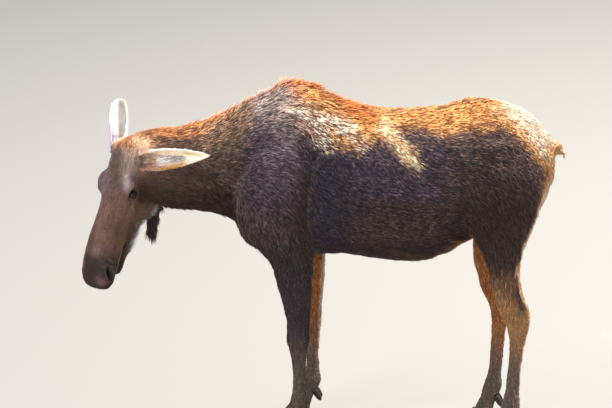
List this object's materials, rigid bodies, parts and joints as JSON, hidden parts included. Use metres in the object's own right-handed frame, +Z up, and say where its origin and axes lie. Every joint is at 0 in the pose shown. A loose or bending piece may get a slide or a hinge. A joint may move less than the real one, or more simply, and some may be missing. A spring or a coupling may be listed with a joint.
{
  "type": "cow moose",
  "caption": "Life-size still model of a standing cow moose in summer coat: humped shoulders, long legs, drooping muzzle, head lowered and turned to her left.",
  "frame": {"origin": "on the floor, under the middle of the object's box", "axes": "+X towards the tail, -X towards the nose, -Y towards her left side, +Z up"},
  "size_m": [2.1174, 0.5988, 1.6574],
  "materials": {
    "coat": "short summer fur, dark brown flanks and golden-brown back",
    "coat_face": "very short fur, grey-brown to dark brown at the muzzle",
    "coat_leg": "short close fur, paler grey-brown",
    "ear": "cream hair inside, grey-brown behind",
    "eye": "wet and dark",
    "hoof": "dark horn, satin"
  },
  "bodies": {
    "root": {"head": "coat_face", "muzzle": "coat_face", "lower_jaw": "coat_face", "neck": "coat", "trunk": "coat", "tail": "coat", "bell": "coat", "ear_left": "ear", "ear_right": "ear", "eye_left": "eye", "eye_right": "eye", "front_left_upper": "coat", "front_left_cannon": "coat_leg", "front_left_foot": "coat_leg", "front_left_claw_a": "hoof", "front_left_claw_b": "hoof", "front_left_dewclaw_a": "hoof", "front_left_dewclaw_b": "hoof", "front_right_upper": "coat", "front_right_cannon": "coat_leg", "front_right_foot": "coat_leg", "front_right_claw_a": "hoof", "front_right_claw_b": "hoof", "front_right_dewclaw_a": "hoof", "front_right_dewclaw_b": "hoof", "hind_left_upper": "coat", "hind_left_cannon": "coat_leg", "hind_left_foot": "coat_leg", "hind_left_claw_a": "hoof", "hind_left_claw_b": "hoof", "hind_left_dewclaw_a": "hoof", "hind_left_dewclaw_b": "hoof", "hind_right_upper": "coat", "hind_right_cannon": "coat_leg", "hind_right_foot": "coat_leg", "hind_right_claw_a": "hoof", "hind_right_claw_b": "hoof", "hind_right_dewclaw_a": "hoof", "hind_right_dewclaw_b": "hoof"}
  },
  "joints": []
}
